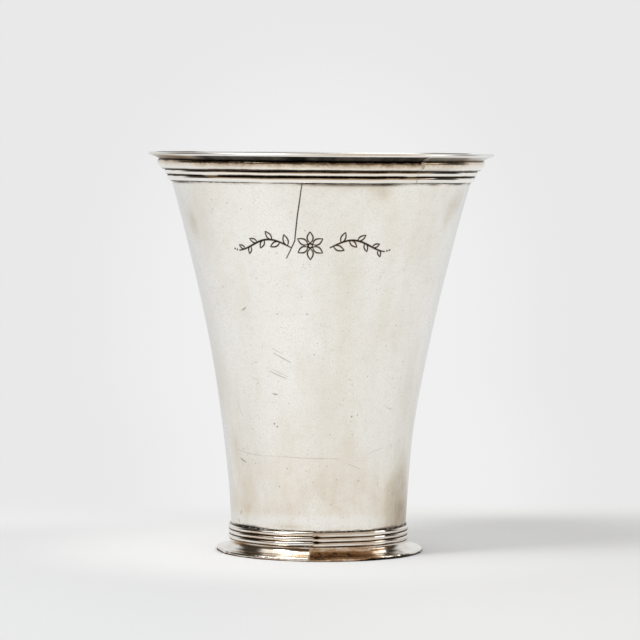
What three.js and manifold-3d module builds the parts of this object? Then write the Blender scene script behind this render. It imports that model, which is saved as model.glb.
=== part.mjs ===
// A silver drinking beaker, in millimetres, +Z up. It stands on Z = 0 with its axis on the Z axis, and its
// front faces -Y. A flared sheet wall with a turned-out lip stands on a spreading foot and holds a let-in
// floor. Drawn moulding strips trim the rim and the foot: each is bent into a ring and closed by a soldered
// butt joint. Hard solder joins all the pieces, and shows as a fine fillet along the edges of the strips.
import * as THREE from "three";
import { mergeVertices } from "three/addons/utils/BufferGeometryUtils.js";
import Module from "manifold-3d";

const wasm = await Module();
wasm.setup();

// Overall sizes.
const HEIGHT = 104;
const LIP_RADIUS = 45;

// Wall. Tapers are degrees from the vertical. The flare to the lip starts at the neck.
const WALL = 0.8;
const BASE_RADIUS = 22.85;
const BASE_TAPER = 2;
const NECK_RADIUS = 38.82;
const NECK_TAPER = 15.5;
const NECK_DROP = 8;
const FLARE_LEAD = 4.2;
const LIP_LEAD = 3;
const LIP_RISE = 10;

// Floor.
const FLOOR = 1;

// Foot flange: a drawn strip with a hollow moulding outside and a ledge inside. It spreads past the wall's base.
const FLANGE_SPREAD = 4.15;
const FLANGE_HEIGHT = 3.25;
const FLANGE_EDGE = 0.9;
const FLANGE_REST_WIDTH = 1.5;
const LEDGE_THICKNESS = 0.9;
const LEDGE_WIDTH = 0.9;
const FLANGE_SEAM_ANGLE = -5.4;

// Foot collar: a drawn strip of half-round reeds. The back is its thickness under the grooves.
const COLLAR_REEDS = 3;
const COLLAR_REED_WIDTH = 1.25;
const COLLAR_REED_PROUD = 0.45;
const COLLAR_BACK = 0.3;
const COLLAR_SEAM_ANGLE = -3;

// Rim moulding: a drawn strip of half-round reeds with a wider roll above them, next to the lip.
const RIM_START = 0.75;
const RIM_REEDS = 2;
const RIM_REED_WIDTH = 1.65;
const RIM_REED_PROUD = 0.5;
const RIM_ROLL_WIDTH = 3.2;
const RIM_ROLL_PROUD = 0.95;
const RIM_BACK = 0.34;
const RIM_SEAM_ANGLE = 37;

// Solder: the film in a joint, the butt joints of the strips, and the fillets along the edges.
const FILM = 0.08;
const SEAM_WIDTH = 0.6;
const SEAM_PROUD = 0.15;
const RIM_FILLET = 0.3;
const COLLAR_FILLET = 0.3;
const FLOOR_FILLET = 0.6;

// Facets: around the axis, and along the curves of a profile.
const SEGMENTS = 48;
const WALL_STEPS = 10;
const FLARE_STEPS = 8;
const REED_STEPS = 5;
const ROLL_STEPS = 6;
const HOLLOW_STEPS = 4;
const EDGE_STEPS = 4;

// The foot's radius and the heights that follow from the sizes above.
const footRadius = BASE_RADIUS + FLANGE_SPREAD;
const seatZ = FLANGE_HEIGHT + FILM;
const collarTopZ = seatZ + COLLAR_REEDS * COLLAR_REED_WIDTH;
const floorTopZ = seatZ + FLOOR;
const neckZ = HEIGHT - NECK_DROP;

const radians = THREE.MathUtils.degToRad;
const point = (radius, z) => new THREE.Vector2(radius, z);

// Points on an elliptical arc, angles in degrees.
function arc(centre, acrossRadius, alongRadius, fromAngle, toAngle, steps) {
  const points = [];
  for (let i = 0; i <= steps; i += 1) {
    const angle = radians(THREE.MathUtils.lerp(fromAngle, toAngle, i / steps));
    points.push(point(centre.x + acrossRadius * Math.cos(angle), centre.y + alongRadius * Math.sin(angle)));
  }
  return points;
}

// The wall's outer face, from the collar up to the neck and from the neck out to the edge of the lip.
const neck = point(NECK_RADIUS, neckZ);
const lipUnder = point(
  LIP_RADIUS - (WALL / 2) * (1 - Math.sin(radians(LIP_RISE))),
  HEIGHT - (WALL / 2) * (1 + Math.cos(radians(LIP_RISE))),
);
const bodyThird = (neckZ - collarTopZ) / 3;
const bodyCurve = new THREE.CubicBezierCurve(
  point(BASE_RADIUS, collarTopZ),
  point(BASE_RADIUS + bodyThird * Math.tan(radians(BASE_TAPER)), collarTopZ + bodyThird),
  point(NECK_RADIUS - bodyThird * Math.tan(radians(NECK_TAPER)), neckZ - bodyThird),
  neck,
);
const flareCurve = new THREE.CubicBezierCurve(
  neck,
  point(
    neck.x + FLARE_LEAD * Math.sin(radians(NECK_TAPER)),
    neck.y + FLARE_LEAD * Math.cos(radians(NECK_TAPER)),
  ),
  point(
    lipUnder.x - LIP_LEAD * Math.cos(radians(LIP_RISE)),
    lipUnder.y - LIP_LEAD * Math.sin(radians(LIP_RISE)),
  ),
  lipUnder,
);

// A point off a curve: u runs from 0 to 1 along it, and out is the distance off its outer face.
function offCurve(curve, u, out) {
  const along = curve.getTangentAt(u);
  return curve.getPointAt(u).add(point(along.y, -along.x).multiplyScalar(out));
}

// A point on the rim: how far along the flare from the neck, and how far off the wall.
const flareLength = flareCurve.getLength();
const onRim = (along, out) => offCurve(flareCurve, along / flareLength, out);

// The wall's outer and inner radius around the collar, where it is a plain cone.
const wallOuter = (z) => BASE_RADIUS - (collarTopZ - z) * Math.tan(radians(BASE_TAPER));
const wallInner = (z) => wallOuter(z) - WALL / Math.cos(radians(BASE_TAPER));

// A point on the collar: how far up from its lower edge, and how far off its back.
const onCollar = (along, out) => point(wallOuter(seatZ + along) + FILM + out, seatZ + along);

// Turns a profile about the Z axis. A profile that doesn't start on the axis closes on itself.
// Angle 0 is the front, and angles grow towards +X.
function turned(profile) {
  const closed = profile[0].x === 0 ? profile : [...profile, profile[0]];
  return new THREE.LatheGeometry(closed, SEGMENTS).rotateX(Math.PI / 2);
}

// From a geometry to a solid that can be cut, and back.
function solidOf(geometry) {
  const plain = geometry.clone();
  plain.deleteAttribute("normal");
  plain.deleteAttribute("uv");
  const merged = mergeVertices(plain);
  const mesh = new wasm.Mesh({
    numProp: 3,
    vertProperties: merged.attributes.position.array,
    triVerts: new Uint32Array(merged.index.array),
  });
  return new wasm.Manifold(mesh);
}

function geometryOf(solid) {
  const mesh = solid.getMesh();
  const geometry = new THREE.BufferGeometry();
  geometry.setAttribute("position", new THREE.BufferAttribute(mesh.vertProperties, 3));
  geometry.setIndex(new THREE.BufferAttribute(mesh.triVerts, 1));
  geometry.computeVertexNormals();
  return geometry;
}

// An upright slab through one side of a ring, at an angle from the front.
function seamSlab(width, angle) {
  const slab = new THREE.BoxGeometry(width, LIP_RADIUS, 2 * HEIGHT);
  slab.translate(0, -LIP_RADIUS / 2 - WALL, HEIGHT / 2);
  slab.rotateZ(radians(angle));
  return solidOf(slab);
}

// A strip bent into a ring with its ends a seam apart, and the solder that fills the seam.
const openRing = (profile, angle) =>
  geometryOf(solidOf(turned(profile)).subtract(seamSlab(SEAM_WIDTH, angle)));
const seamFill = (profile, angle) =>
  geometryOf(solidOf(turned(profile)).intersect(seamSlab(SEAM_WIDTH - 2 * FILM, angle)));

// Half-round reeds side by side along a strip, without the point where the first one starts.
function reeds(place, start, count, width, back, proud, steps) {
  const points = [];
  for (let reed = 0; reed < count; reed += 1) {
    const middle = point(back, start + (reed + 0.5) * width);
    const half = arc(middle, proud, width / 2, -90, 90, steps).slice(1);
    points.push(...half.map((p) => place(p.y, p.x)));
  }
  return points;
}

function wallProfile() {
  const outer = [point(wallOuter(seatZ), seatZ)];
  const inner = [point(wallInner(seatZ), seatZ)];
  for (let i = 0; i < WALL_STEPS; i += 1) {
    outer.push(offCurve(bodyCurve, i / WALL_STEPS, 0));
    inner.push(offCurve(bodyCurve, i / WALL_STEPS, -WALL));
  }
  for (let i = 0; i <= FLARE_STEPS; i += 1) {
    outer.push(offCurve(flareCurve, i / FLARE_STEPS, 0));
    inner.push(offCurve(flareCurve, i / FLARE_STEPS, -WALL));
  }
  const edgeCentre = offCurve(flareCurve, 1, -WALL / 2);
  const edgeBelow = arc(edgeCentre, WALL / 2, WALL / 2, LIP_RISE - 90, 0, EDGE_STEPS / 2).slice(1);
  const edgeAbove = arc(edgeCentre, WALL / 2, WALL / 2, 0, 90, EDGE_STEPS / 2).slice(1);
  return [...outer, ...edgeBelow, ...edgeAbove, ...inner.reverse()];
}

function floorProfile() {
  const radius = wallInner(seatZ) - FILM;
  return [point(0, seatZ), point(radius, seatZ), point(radius, floorTopZ), point(0, floorTopZ)];
}

// proud is how far the solder of a seam stands off the strip.
function rimProfile(proud) {
  const back = RIM_BACK + proud;
  const reedsEnd = RIM_START + RIM_REEDS * RIM_REED_WIDTH;
  const rollEnd = reedsEnd + RIM_ROLL_WIDTH;
  const inside = [];
  for (let i = 0; i <= FLARE_STEPS; i += 1) {
    inside.push(onRim(THREE.MathUtils.lerp(rollEnd, RIM_START, i / FLARE_STEPS), FILM));
  }
  return [
    onRim(RIM_START, back),
    ...reeds(onRim, RIM_START, RIM_REEDS, RIM_REED_WIDTH, back, RIM_REED_PROUD, REED_STEPS),
    ...reeds(onRim, reedsEnd, 1, RIM_ROLL_WIDTH, back, RIM_ROLL_PROUD, ROLL_STEPS),
    ...inside,
  ];
}

function collarProfile(proud) {
  const back = COLLAR_BACK + proud;
  return [
    onCollar(0, back),
    ...reeds(onCollar, 0, COLLAR_REEDS, COLLAR_REED_WIDTH, back, COLLAR_REED_PROUD, REED_STEPS),
    onCollar(collarTopZ - seatZ, 0),
    onCollar(0, 0),
  ];
}

function flangeProfile() {
  const throat = onCollar(0, COLLAR_BACK + COLLAR_REED_PROUD / 2).x;
  const edgeCentre = point(footRadius - FLANGE_EDGE / 2, FLANGE_EDGE / 2);
  const rest = point(edgeCentre.x - FLANGE_REST_WIDTH, 0);
  const underside = point(wallOuter(seatZ), FLANGE_HEIGHT - LEDGE_THICKNESS);
  const ledge = wallInner(seatZ) - LEDGE_WIDTH;
  const hollowBelow = new THREE.QuadraticBezierCurve(underside, point(underside.x, rest.y), rest);
  const hollowAbove = new THREE.QuadraticBezierCurve(
    point(edgeCentre.x, FLANGE_EDGE),
    point(throat, FLANGE_EDGE),
    point(throat, FLANGE_HEIGHT),
  );
  return [
    point(ledge, underside.y),
    ...hollowBelow.getPoints(HOLLOW_STEPS),
    ...arc(edgeCentre, FLANGE_EDGE / 2, FLANGE_EDGE / 2, -90, 90, EDGE_STEPS),
    ...hollowAbove.getPoints(HOLLOW_STEPS).slice(1),
    point(ledge, FLANGE_HEIGHT),
  ];
}

// Fillets of solder: below the rim moulding, on the collar, and around the floor.
const rimFilletProfile = () => [
  onRim(RIM_START - FILM - RIM_FILLET, FILM),
  onRim(RIM_START - FILM, FILM + RIM_FILLET),
  onRim(RIM_START - FILM, FILM),
];

const collarFilletProfile = () => [
  onCollar(collarTopZ - seatZ + FILM, 0),
  onCollar(collarTopZ - seatZ + FILM, COLLAR_FILLET),
  onCollar(collarTopZ - seatZ + FILM + COLLAR_FILLET, 0),
];

function floorFilletProfile() {
  const low = floorTopZ + FILM;
  const high = low + FLOOR_FILLET;
  return [
    point(wallInner(low) - FILM - FLOOR_FILLET, low),
    point(wallInner(low) - FILM, low),
    point(wallInner(high) - FILM, high),
  ];
}

const SILVER = 0xe4e1d8;
const SOLDER = 0xa89f92;

const beaker = new THREE.Group();
beaker.name = "beaker";

function add(name, geometry, color, roughness) {
  const material = new THREE.MeshStandardMaterial({ color, roughness, metalness: 1 });
  const mesh = new THREE.Mesh(geometry, material);
  mesh.name = name;
  beaker.add(mesh);
}

add("body_wall", turned(wallProfile()), SILVER, 0.35);
add("floor_disc", turned(floorProfile()), SILVER, 0.4);
add("floor_solder", turned(floorFilletProfile()), SOLDER, 0.6);
add("rim_moulding", openRing(rimProfile(0), RIM_SEAM_ANGLE), SILVER, 0.25);
add("rim_seam_solder", seamFill(rimProfile(SEAM_PROUD), RIM_SEAM_ANGLE), SOLDER, 0.5);
add("rim_edge_solder", turned(rimFilletProfile()), SOLDER, 0.6);
add("foot_flange", openRing(flangeProfile(), FLANGE_SEAM_ANGLE), SILVER, 0.25);
add("flange_seam_solder", seamFill(flangeProfile(), FLANGE_SEAM_ANGLE), SOLDER, 0.5);
add("foot_collar", openRing(collarProfile(0), COLLAR_SEAM_ANGLE), SILVER, 0.25);
add("collar_seam_solder", seamFill(collarProfile(SEAM_PROUD), COLLAR_SEAM_ANGLE), SOLDER, 0.5);
add("collar_edge_solder", turned(collarFilletProfile()), SOLDER, 0.6);

export default beaker;
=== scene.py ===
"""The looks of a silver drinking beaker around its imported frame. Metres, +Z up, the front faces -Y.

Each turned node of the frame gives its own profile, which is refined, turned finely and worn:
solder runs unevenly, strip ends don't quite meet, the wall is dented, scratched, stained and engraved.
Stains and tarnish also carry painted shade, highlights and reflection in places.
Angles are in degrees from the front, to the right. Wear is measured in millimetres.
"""
import math
from collections import namedtuple

import bmesh
import bpy
import numpy as np
from mathutils import Matrix, Vector, noise
from mathutils.kdtree import KDTree


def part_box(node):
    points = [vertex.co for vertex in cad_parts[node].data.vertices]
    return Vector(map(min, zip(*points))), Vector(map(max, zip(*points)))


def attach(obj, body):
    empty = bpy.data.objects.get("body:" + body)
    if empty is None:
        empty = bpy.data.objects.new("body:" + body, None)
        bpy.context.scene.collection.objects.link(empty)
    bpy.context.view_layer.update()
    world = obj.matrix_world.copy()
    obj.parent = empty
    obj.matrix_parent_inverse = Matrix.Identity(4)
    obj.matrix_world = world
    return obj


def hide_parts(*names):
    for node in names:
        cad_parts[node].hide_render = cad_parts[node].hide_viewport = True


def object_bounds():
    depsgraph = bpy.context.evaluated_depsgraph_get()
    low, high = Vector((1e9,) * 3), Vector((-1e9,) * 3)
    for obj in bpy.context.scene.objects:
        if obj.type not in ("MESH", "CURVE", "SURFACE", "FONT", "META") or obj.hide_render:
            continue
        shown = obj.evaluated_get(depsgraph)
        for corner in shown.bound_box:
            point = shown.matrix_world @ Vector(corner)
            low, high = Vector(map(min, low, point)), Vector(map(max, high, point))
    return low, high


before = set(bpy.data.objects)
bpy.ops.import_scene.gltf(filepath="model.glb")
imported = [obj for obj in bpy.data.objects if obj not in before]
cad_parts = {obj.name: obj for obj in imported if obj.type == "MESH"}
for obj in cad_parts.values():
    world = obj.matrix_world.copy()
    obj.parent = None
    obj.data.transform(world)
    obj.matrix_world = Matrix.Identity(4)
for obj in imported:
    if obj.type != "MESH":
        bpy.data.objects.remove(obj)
cad_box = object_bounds()
MM = 0.001

# Camera: a long lens a little above the rim, rolled because the beaker doesn't stand quite straight.
CAMERA_PLACE = (0.0, -0.921, 0.1095)
CAMERA_AIM = (0.0, 0.0, 0.0603)
CAMERA_LENS, CAMERA_SENSOR = 198.5, 36
CAMERA_CLIP = (0.05, 20)
CAMERA_ROLL = math.radians(0.45)

# Studio: a white table and backdrop, a softbox up on the left, and a room with warm walls, a dark ceiling
# and a tall window, which only the silver mirrors.
WHITE = (0.815, 0.815, 0.815, 1)
AMBIENT = (0.80, 0.80, 0.79, 1)
ROOM = (0.050, 0.042, 0.030, 1)
ROOM_FLOOR = (0.46, 0.34, 0.24, 1)
ROOM_WALL = (0.62, 0.52, 0.42, 1)
CEILING = (0.120, 0.082, 0.050, 1)
SOFTBOX = (1.3, 1.3, 1.28, 1)
WINDOW = (2.0, 2.0, 1.95, 1)
KEY = {"place": (-0.60, -0.44, 0.82), "size": (0.26, 0.8), "power": 5.0}
KEY_AIM = (0, 0, 0.05)

# Where things lie in the mirrored room: along the axes, or across and up as the front mirrors them.
FLOOR_DEEP, FLOOR_TOP = (0.1, -0.15), (0.16, 0.02)
CEILING_ACROSS, WALL_UP = (-0.14, -0.06, 0.74, 0.86), (1.5, 1.1)
SOFTBOX_ACROSS, SOFTBOX_UP = (-0.81, -0.76, -0.115, -0.06), (0.36, 0.48)
WINDOW_ACROSS, WINDOW_UP = (0.76, 0.80, 1.05, 1.10), (0.14, 0.22, 1.8, 2.1)
BACKDROP_DEEP, BACKDROP_TOP = (0.40, 0.66), (0.60, 0.40)
TALL_WIDE, TALL_DEEP, TALL_TOP = (0.30, 0.16), (0.66, 0.80), (0.85, 0.70)

# The table's colours, and the stretches in metres over which one passes into the next.
TABLE_RADIUS, TABLE_SEGMENTS = 0.8, 96
# The lit colours paint light and shade: lighter close to the beaker and behind on the left, darker on the
# left under the key lamp.
TABLE_CENTRE = (0.828, 0.83, 0.838, 1)
TABLE_LEFT = (0.725, 0.729, 0.738, 1)
TABLE_LEFT_BACK = (0.787, 0.79, 0.798, 1)
TABLE_RIGHT = (0.777, 0.775, 0.765, 1)
TABLE_MIRRORED = (0.90, 0.90, 0.895, 1)
TABLE_BEHIND_LEFT = (0.80, 0.80, 0.805, 1)
TABLE_BEHIND_RIGHT = (0.85, 0.85, 0.85, 1)
CENTRE_TO_EDGE = (0.04, 0.09)
LEFT_TO_RIGHT = (-0.04, 0.04)
LEFT_TO_BACK = (0.02, 0.07)
FRONT_TO_BEHIND = (-0.02, 0.10)
WHITE_AWAY, WHITE_BACK = (0.11, 0.30), (0.065, 0.125)
FRONT_END = (-0.30, -0.46)
CARD_PLACE, CARD_EDGE = (-0.065, -0.12, 0.0), (0.12, 0.03)

# A lighter halo behind the beaker: an oval on the backdrop and a leaning fan on the table.
HALO = (0.87, 0.87, 0.87, 1)
HALO_WIDE, HALO_TALL, HALO_RISE, HALO_CORE = 0.0737, 0.084, -0.048, 0.45
HALO_FAN, HALO_LEAN = 0.92, 0.009
HALO_LEANING, HALO_ON_TABLE, HALO_ON_BACKDROP = (0.7, 0.2), (-0.05, 0.0), (0.2, 0.6)

# Fineness of the turned pieces, in millimetres along a profile and in columns around it.
WALL_STEP, EDGE_STEP, LIP_STEP, THROAT_STEP, INSIDE_STEP, UNDER_STEP = 0.95, 0.3, 0.12, 0.8, 2.2, 0.4
LINE_STEP, STRIP_STEP, SOLDER_STEP, FLOOR_STEP = 0.02, 0.11, 0.08, 0.25
WALL_COLUMNS, STRIP_COLUMNS, SOLDER_COLUMNS, FLOOR_COLUMNS, SEAM_COLUMNS = 256, 480, 720, 128, 12
COLLAR_ROWS, RIM_ROWS = (6.8, 9.5), 94.5
LIP_OUTSIDE, LIP_INSIDE, THROAT = 1.6, 1.2, 12
CORNER_TURN, GROOVE_TURN = 60, -40
CURVE_PARTS = 16
SHARP = math.radians(48)
UV_LOW, UV_HIGH = 0.002, 0.998

# Colours of the sheet silver, of the drawn strips from clean to dark with tarnish and painted shade, and
# of the solder.
SHEET = {
    "pale": (0.985, 0.967, 0.922, 1),
    "cloudy": (0.905, 0.855, 0.752, 1),
    "rosy": (0.86, 0.74, 0.60, 1),
    "brown": (0.55, 0.44, 0.32, 1),
    "mottled": (0.60, 0.54, 0.42, 1),
    "grainy": (0.60, 0.53, 0.41, 1),
    "hair": (0.45, 0.38, 0.30, 1),
    "speck": (0.38, 0.25, 0.16, 1),
    "clean": (0.99, 0.975, 0.94, 1),
    "crust_and_shade": (0.38, 0.28, 0.18, 1),
    "film": (0.28, 0.16, 0.08, 1),
    "black": (0.030, 0.026, 0.019, 1),
    "grazing": (0.86, 0.88, 0.91, 1),
}
STRIP_RAMP = (
    (0.930, 0.912, 0.872, 1), (0.870, 0.805, 0.715, 1), (0.640, 0.525, 0.400, 1),
    (0.280, 0.215, 0.150, 1), (0.055, 0.044, 0.031, 1), (0.010, 0.008, 0.006, 1),
)
STRIP_VEIL, STRIP_RUST = (0.50, 0.48, 0.45, 1), (0.36, 0.18, 0.07, 1)
SOLDER_DULL, SOLDER_BRIGHT = (0.50, 0.43, 0.35, 1), (0.80, 0.75, 0.67, 1)
SOLDER_BLACK = (0.022, 0.016, 0.011, 1)

# Sizes of the materials' grain in metres, along each axis, and the depth of their relief.
CLOUDS, STREAKS = (0.018, 0.026, 1), (0.005, 0.02, 1)
MOTTLE, FINE = (0.0024, 0.0028, 1), (0.00045, 0.0006, 1)
HAIRS, HAIR_TURNS = (0.00016, 0.0045, 1), (0.15, -0.4, 1.2)
FILM, GRIT, WAVES = (0.006, 0.006, 0.0018), (0.0009, 0.0009, 0.0005), (0.0016, 0.0016, 0.0004)
SPECKS, PATCHES, PITS = (0.0007,) * 3, (0.0014,) * 3, (0.0003,) * 3
SHEET_RELIEF, STRIP_RELIEF, SOLDER_RELIEF = 0.000008, 0.000003, 0.00001

# Heights and distances from the middle, in metres, at which the materials change.
UNROLLED_RADIUS = 0.033
SHEET_FOOT, HAIRS_FROM = (0.0092, 0.0122, 0.014, 0.034), (0.006, 0.007)
LIP_CRUST_AND_SHADE, LIP_CLEAN = (0.1014, 0.1020), (0.1024, 0.1030)
STRIP_FOOT, STRIP_WARM = (0.012, 0.008), (0.023, 0.012)

# Soft spots around an angle and a height on the wall. Dents and bulges push it out by an amount.
# Stain spots are brown above 0 and lighter below: real stains, and painted shade, highlights and
# reflection among them.
Spot = namedtuple("Spot", "angle height amount span rise")
DENTS = [Spot(*row) for row in (
    (84, 32, -0.3, 26, 13),
    (-84, 33, 0.25, 24, 15),
    (86, 16, 0.12, 20, 7),
    (40, 18, -0.2, 12, 8),
    (37, 62, 0.15, 4, 30),
)]
STAINS_AND_PAINTED_LIGHT = [Spot(*row) for row in (
    # Brown under the lip at the left and right: painted shade.
    (-64, 102.5, 1.6, 18, 0.9), (58, 102.3, 0.7, 16, 0.6),
    # Darker under the rim in front: painted shade.
    (10, 96, 0.5, 14, 2.0), (24, 94, 0.55, 5, 3.0),
    (-65, 86, 0.5, 6, 5), (62, 87, 0.35, 6, 5),
    (69, 92, 0.5, 9, 5), (-5, 84, 0.3, 7, 4),
    (12, 52, 0.25, 9, 26), (47, 40, -0.2, 7, 22),
    # At -28 degrees, 64 mm, lighter: a painted highlight.
    (-43, 29, 0.15, 12, 9), (-28, 64, -0.5, 16, 16),
    # At 38 degrees a painted bright streak; at -70 degrees painted shade down the left edge.
    (38, 72, -0.3, 3, 18), (-70, 50, 0.15, 10, 60),
    (2, 18, 0.25, 30, 5), (33, 19, -0.35, 7, 9),
    # Brown low on the right, here and at 67 degrees, 8.5 mm: a painted reflection of the beaker's shadow.
    (67, 14, 0.8, 13, 13), (51, 17.5, 0.42, 7, 5.5),
    (67, 8.5, 1.7, 15, 7), (-36, 18, -0.4, 9, 6),
    # At -60 degrees, 26 mm: painted shade at the lower left edge.
    (-24, 17, -0.3, 8, 7), (-60, 26, 0.35, 9, 10),
    (-9, 31, 0.3, 13, 13), (-40, 40, 0.22, 14, 8),
    (-20, 8.6, 0.7, 13, 0.9), (15, 8.3, 0.6, 30, 0.8),
    (-52, 12, 0.4, 9, 3), (-5, 9.6, -0.6, 44, 1.6),
)]

# Hammering of the wall: its depth and spacing, and the heights between which it is felt.
HAMMERED, HAMMER_SPACING = 0.03, 9.0
HAMMER_LOW, HAMMER_HIGH, HAMMER_FADE = 9, 95, 6

# How marks are cut into the wall, how finely, and how far up and around they go.
Stroke = namedtuple("Stroke", "wide deep dark")
MARK_REACH = (1.0, 0.55, 0.33)
MARK_SPACING, MARK_SEARCH = 0.06, 0.45
MARK_TOP, MARK_SIDE = 97, 80
MARK_FLANK, MARK_HAZE, HAZE_FALL = 1.7, 0.16, 0.6

# The engraved spray in the middle of the front.
ORNAMENT_ANGLE, ORNAMENT_HEIGHT, ORNAMENT_TAPER = -4.3, 80.8, 0.45
STROKE = Stroke(0.30, 0.11, 1.0)
HAIRLINE = Stroke(0.22, 0.08, 1.0)
DOT = Stroke(0.28, 0.1, 1.0)
PETALS, PETAL_START, PETAL_LENGTH, PETAL_WIDTH, EYE_RADIUS = 6, 0.75, 2.9, 1.5, 0.55
STEM_START, STEM_LENGTH, STEM_SWING, STEM_POINTS = 5.0, 14.6, 1.5, 120
LEAVES = (0.06, 0.2, 0.34, 0.48, 0.62, 0.76, 0.88)
LEAF_LENGTH, LEAF_SHRINK, LEAF_WIDTH, LEAF_LEAN = 3.1, 1.3, 0.42, 0.85
STEM_DOTS = (0.7, 1.4)

# Wear on the wall: (angle, height) points along each mark.
CRACK = Stroke(0.185, 0.12, 1.0)
CUT = Stroke(0.12, 0.05, 0.42)
SCRATCH = Stroke(0.1, 0.03, 0.28)
FAINT = Stroke(0.1, 0.02, 0.14)
NICK = Stroke(0.15, 0.05, 0.6)
PIT = Stroke(0.23, 0.06, 0.7)
WEAR_TAPER = 0.3
WEAR = (
    (CRACK, (-6.9, 96.8), (-7.6, 94.4), (-8.1, 92.3), (-9.2, 88.5), (-10.2, 84.2), (-10.7, 82.0),
     (-12.9, 79.4), (-14.6, 77.6)),
    (SCRATCH, (-25.1, 54.4), (-22.2, 53.7), (-19.1, 53.0)),
    (CUT, (-24.4, 53.2), (-20.0, 52.1), (-15.3, 50.9)),
    (CUT, (-27.5, 48.5), (-22.5, 47.5), (-17.8, 46.7)),
    (SCRATCH, (-26.3, 49.1), (-17.0, 47.2)),
    (SCRATCH, (-39.8, 46.8), (-35.0, 45.8)),
    (NICK, (-26.7, 42.7), (-23.8, 42.5)),
    (NICK, (-40.2, 63.9), (-37.9, 64.6)),
    (SCRATCH, (-53.2, 40.5), (-52.5, 38.3), (-50.2, 36.3)),
    (SCRATCH, (-59.5, 27.4), (-48.0, 26.7), (-37.3, 26.4)),
    (FAINT, (-37.3, 26.4), (-23.0, 26.5)),
    (SCRATCH, (-23.0, 26.5), (-11.7, 26.3), (11.2, 26.15)),
    (SCRATCH, (11.0, 40.4), (13.5, 39.7)),
    (SCRATCH, (32.4, 27.4), (37.0, 28.1), (41.7, 28.5)),
    (SCRATCH, (17.6, 24.8), (26.0, 23.4)),
    (SCRATCH, (40.3, 39.4), (45.4, 38.3)),
    (NICK, (-56.5, 25.1), (-51.2, 24.3)),
    (NICK, (-59.4, 11.4), (-61.0, 10.4)),
    (NICK, (-64.2, 9.1), (-63.3, 8.3)),
    (PIT, (-26.8, 34.9)), (PIT, (-25.1, 34.2)), (PIT, (18.8, 37.0)),
    (NICK, (22.3, 37.4)), (NICK, (-38.2, 50.1)), (NICK, (-36.0, 50.6)),
)

# The strips' ends: half the gap of a butt joint, how far and how long the ends stand out beside it, how
# the collar's ends are out of line, and how wide and high the solder of each seam is.
SEAM_HALF = 0.16
END_PROUD, END_LENGTH, COLLAR_PROUD, LUMP_SUNK = 0.22, 5.0, 0.6, 0.04
COLLAR_DROP, COLLAR_RISE, COLLAR_END = -0.14, 0.12, 14
RIM_LUMP, COLLAR_LUMP, FLANGE_LUMP = 0.62, 0.24, 0.2
DROP_HEIGHT, DROP_SIZE, DROP_BULGE = 101.2, 0.75, 0.22

# Tarnish and painted shade, by (centre, width) or (start, full) angles, and by heights.
RIM_BLACK, RIM_DIM, DIM_SHARE = (-52, -43), (66, 54), 0.6
RIM_JOINT_FRONT, RIM_JOINT_ENDS = (12, 20), ((-68, 11), (65, 7), (47, 4), (84, 6))
RIM_SOLDER_ENDS = ((-66, 9), (60, 8))
COLLAR_JOINT_LEFT, COLLAR_JOINT_RIGHT, COLLAR_JOINT_START = (-55, 16), (60, 20), (-78, -66)
LIP_ARCS = ((-136, -127, -103, -97), (113, 119, 135, 147))
SECOND_GROOVE, GAP_LEFT, GAP_RIGHT = 98.15, (-44, 5.5), (34, 2.6)
ROLL_CREST = 101.6
LIP_CREVICE, LIP_EDGE = (101.8, 102.1), 0.8
FLANGE_BEND, FLANGE_EDGE = 23.8, 25.5
EDGE_RIGHT, EDGE_LEFT, EDGE_SIDES = (15, 30), (-45, -60), (15, 45)
HOLLOW_FRONT, HOLLOW_LEFT = 12, (-63, 15)
FLOOR_RINGS, PUNCH_RADIUS = 2.4, 0.35


# Profiles.

def fade(value, low, high):
    """A smooth step from 0 at low to 1 at high."""
    t = np.clip((value - low) / (high - low), 0, 1)
    return t * t * (3 - 2 * t)


def near(value, centre, width, power=2):
    """A smooth hump: 1 at the centre, and fading out over a width."""
    return np.exp(-(abs((value - centre) / width) ** power))


def signed(angle):
    """Degrees brought between -180 and 180."""
    return (angle + 180) % 360 - 180


def place_at(degrees, r, z):
    """Places at angles, distances from the axis and heights."""
    angle = np.radians(degrees)
    return np.stack([r * np.sin(angle), -r * np.cos(angle), z], -1)


def soft_spots(spots, degrees, z):
    """The sum of soft spots at angles and heights."""
    total = np.zeros_like(z)
    for spot in spots:
        across = near(signed(degrees - spot.angle), 0, spot.span)
        total += spot.amount * across * near(z / MM, spot.height, spot.rise)
    return total


def ripple(angle, seed, longest=3, shortest=40, fall=0.8):
    """A smooth, repeating random wave around the beaker, about -1 to 1."""
    source = np.random.default_rng(seed)
    waves = np.arange(longest, shortest)
    phase = source.uniform(0, 2 * math.pi, len(waves))
    size = source.normal(0, 1, len(waves)) / waves**fall
    total = sum(s * np.cos(np.radians(angle) * w + p) for w, p, s in zip(waves, phase, size))
    return total / (1.6 * math.sqrt((size**2).sum() / 2))


def outline(node):
    """A turned node's profile, read at the back: (radius, height) points, anticlockwise."""
    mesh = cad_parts[node].data
    beside = {}
    for edge in mesh.edges:
        ends = [mesh.vertices[i].co for i in edge.vertices]
        if all(abs(p.x) < 1e-6 and p.y > -1e-6 for p in ends):
            a, b = [(round(p.y, 7), round(p.z, 7)) for p in ends]
            if a != b:
                beside.setdefault(a, set()).add(b)
                beside.setdefault(b, set()).add(a)
    loose = [p for p, others in beside.items() if len(others) == 1]
    run = [min(loose or beside, key=lambda p: (p[1], -p[0]))]
    while True:
        onward = sorted(p for p in beside[run[-1]] if p not in run)
        if not onward:
            break
        run.append(onward[-1])
    points = np.array(run)
    r, z = points.T
    if (r * np.roll(z, -1) - np.roll(r, -1) * z).sum() < 0:
        points = points[::-1]
    return points


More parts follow.
